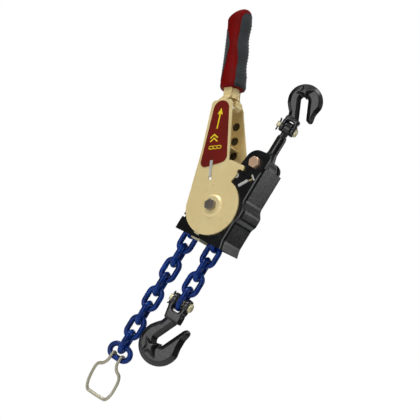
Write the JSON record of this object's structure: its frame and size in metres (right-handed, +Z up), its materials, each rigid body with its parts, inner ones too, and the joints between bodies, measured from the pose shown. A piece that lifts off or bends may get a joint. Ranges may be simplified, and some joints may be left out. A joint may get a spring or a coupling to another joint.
{
  "type": "come along winch",
  "caption": "Hand chain puller: a long ratchet lever straddles a pressed frame with a pocket chain wheel, clevis grab hooks at both ends, a blue load chain and a slack tail with a pull ring.",
  "frame": {"origin": "the seat of the top hook's slot, on the load line", "axes": "+Z up along the load line, the axle and the pivot bolt along Y with the bolt heads on -Y, +X towards the frame's closed web"},
  "size_m": [0.2837, 0.0917, 0.7222],
  "materials": {
    "frame_paint": "gloss black paint on pressed steel",
    "forging_black": "semi-gloss black on drop forgings",
    "yellow_zinc": "pale yellow zinc plating",
    "white_zinc": "bright zinc plating",
    "copper_plate": "coppery plated bolt head",
    "cast_steel": "cast wheel and hardened ratchets",
    "bush_bronze": "bronze bushes",
    "chain_blue": "deep blue chain lacquer",
    "label_red": "red lacquered plate",
    "grip_red": "red handle core",
    "grip_grey": "dark grey soft panels"
  },
  "bodies": {
    "top_hook": {"top_hook": "forging_black", "top_hook_pin": "yellow_zinc", "top_split_pin": "white_zinc"},
    "shank": {"shank": "forging_black"},
    "frame": {"housing": "frame_paint", "pivot_bolt": "copper_plate", "pivot_nut": "white_zinc", "pivot_spacers": "white_zinc", "cross_pin": "white_zinc", "chain_guide": "yellow_zinc", "spring_seat": "white_zinc", "holding_springs": "white_zinc", "axle_bolt": "yellow_zinc", "axle_nut": "white_zinc", "axle_washers": "white_zinc"},
    "wheel": {"chain_wheel": "cast_steel", "front_ratchet": "cast_steel", "rear_ratchet": "cast_steel", "wheel_bushes": "bush_bronze", "wrap_link_1": "chain_blue", "wrap_link_2": "chain_blue", "wrap_link_3": "chain_blue"},
    "holding_pawl": {"holding_pawl": "white_zinc"},
    "lever": {"lever_body": "yellow_zinc", "label_plate": "label_red", "spring_bracket": "yellow_zinc", "handle_tube": "yellow_zinc", "grip_core": "grip_red", "grip_pads": "grip_grey", "drive_spring": "white_zinc"},
    "drive_pawl": {"drive_pawl": "white_zinc", "finger_pull": "yellow_zinc"},
    "tail_start": {"tail_link_1": "chain_blue", "tail_link_2": "chain_blue", "tail_link_3": "chain_blue"},
    "load_start": {"load_link_1": "chain_blue", "load_link_2": "chain_blue", "load_link_3": "chain_blue"},
    "tail_4": {"tail_link_4": "chain_blue"},
    "tail_5": {"tail_link_5": "chain_blue"},
    "tail_6": {"tail_link_6": "chain_blue"},
    "tail_7": {"tail_link_7": "chain_blue"},
    "tail_8": {"tail_link_8": "chain_blue"},
    "tail_9": {"tail_link_9": "chain_blue"},
    "tail_10": {"tail_link_10": "chain_blue"},
    "tail_11": {"tail_link_11": "chain_blue"},
    "load_4": {"load_link_4": "chain_blue"},
    "load_5": {"load_link_5": "chain_blue"},
    "load_6": {"load_link_6": "chain_blue"},
    "load_hook": {"load_hook": "forging_black", "load_hook_pin": "yellow_zinc", "load_split_pin": "white_zinc"},
    "pull_ring": {"pull_ring": "yellow_zinc"}
  },
  "joints": [
    {"name": "shank_swing", "type": "hinge", "parent": "top_hook", "child": "shank", "pos_m": [0, 0, -0.058], "axis": [0.891, 0.454, 0], "range_deg": [-35, 35]},
    {"name": "frame_swing", "type": "hinge", "parent": "shank", "child": "frame", "pos_m": [0, 0, -0.139], "axis": [0, -1, 0], "range_deg": [-12, 20]},
    {"name": "lever_swing", "type": "hinge", "parent": "frame", "child": "lever", "pos_m": [-0.03, 0, -0.243], "axis": [0, 1, 0], "range_deg": [-65.45, 6]},
    {"name": "wheel_turn", "type": "hinge", "parent": "frame", "child": "wheel", "pos_m": [-0.03, 0, -0.243], "axis": [0, -1, 0], "range_deg": [0, 6]},
    {"name": "tail_slide", "type": "slide", "parent": "frame", "child": "tail_start", "axis": [0, 0, -1], "range_m": [0, 0.0033]},
    {"name": "load_slide", "type": "slide", "parent": "frame", "child": "load_start", "axis": [0, 0, 1], "range_m": [0, 0.0033]},
    {"name": "holding_pawl_slide", "type": "slide", "parent": "frame", "child": "holding_pawl", "axis": [0.5693, 0, 0.8221], "range_m": [0, 0.008], "deforming": ["holding_springs"]},
    {"name": "drive_pawl_slide", "type": "slide", "parent": "lever", "child": "drive_pawl", "axis": [-0.5075, 0, 0.8616], "range_m": [-0.0068, 0], "deforming": ["drive_spring"]},
    {"name": "tail_link_4_swing", "type": "hinge", "parent": "tail_start", "child": "tail_4", "pos_m": [-0.06, 0, -0.32877], "axis": [-0.309, 0.9511, 0], "range_deg": [-5, 30]},
    {"name": "tail_link_5_swing", "type": "hinge", "parent": "tail_4", "child": "tail_5", "pos_m": [-0.06, 0, -0.35877], "axis": [0.9511, 0.309, 0], "range_deg": [-25, 25]},
    {"name": "tail_link_6_swing", "type": "hinge", "parent": "tail_5", "child": "tail_6", "pos_m": [-0.06, 0, -0.38877], "axis": [-0.309, 0.9511, 0], "range_deg": [-5, 30]},
    {"name": "tail_link_7_swing", "type": "hinge", "parent": "tail_6", "child": "tail_7", "pos_m": [-0.06, 0, -0.41877], "axis": [0.9511, 0.309, 0], "range_deg": [-25, 25]},
    {"name": "tail_link_8_swing", "type": "hinge", "parent": "tail_7", "child": "tail_8", "pos_m": [-0.06, 0, -0.44877], "axis": [-0.309, 0.9511, 0], "range_deg": [-5, 30]},
    {"name": "tail_link_9_swing", "type": "hinge", "parent": "tail_8", "child": "tail_9", "pos_m": [-0.06, 0, -0.47877], "axis": [0.9511, 0.309, 0], "range_deg": [-25, 25]},
    {"name": "tail_link_10_swing", "type": "hinge", "parent": "tail_9", "child": "tail_10", "pos_m": [-0.06, 0, -0.50877], "axis": [-0.309, 0.9511, 0], "range_deg": [-5, 30]},
    {"name": "last_link_swing", "type": "hinge", "parent": "tail_10", "child": "tail_11", "pos_m": [-0.06, 0, -0.53877], "axis": [0.9511, 0.309, 0], "range_deg": [-18, 18]},
    {"name": "pull_ring_swing", "type": "hinge", "parent": "tail_11", "child": "pull_ring", "pos_m": [-0.06, 0, -0.56277], "axis": [0.9511, 0.309, 0], "range_deg": [-35, 12]},
    {"name": "load_link_4_swing", "type": "hinge", "parent": "load_start", "child": "load_4", "pos_m": [0, 0, -0.32877], "axis": [-0.309, 0.9511, 0], "range_deg": [-30, 5]},
    {"name": "load_link_5_swing", "type": "hinge", "parent": "load_4", "child": "load_5", "pos_m": [0, 0, -0.35877], "axis": [0.9511, 0.309, 0], "range_deg": [-25, 25]},
    {"name": "load_link_6_swing", "type": "hinge", "parent": "load_5", "child": "load_6", "pos_m": [0, 0, -0.38877], "axis": [-0.309, 0.9511, 0], "range_deg": [-30, 5]},
    {"name": "load_hook_swing", "type": "hinge", "parent": "load_6", "child": "load_hook", "pos_m": [0, 0, -0.41777], "axis": [0.9511, 0.309, 0], "range_deg": [-40, 40]}
  ],
  "couplings": [
    {"joint": "tail_slide", "follows": "wheel_turn", "m_per_rad": 0.0298},
    {"joint": "load_slide", "follows": "wheel_turn", "m_per_rad": 0.0303},
    {"joint": "holding_pawl_slide", "follows": "wheel_turn", "m_per_rad": 0.014}
  ]
}
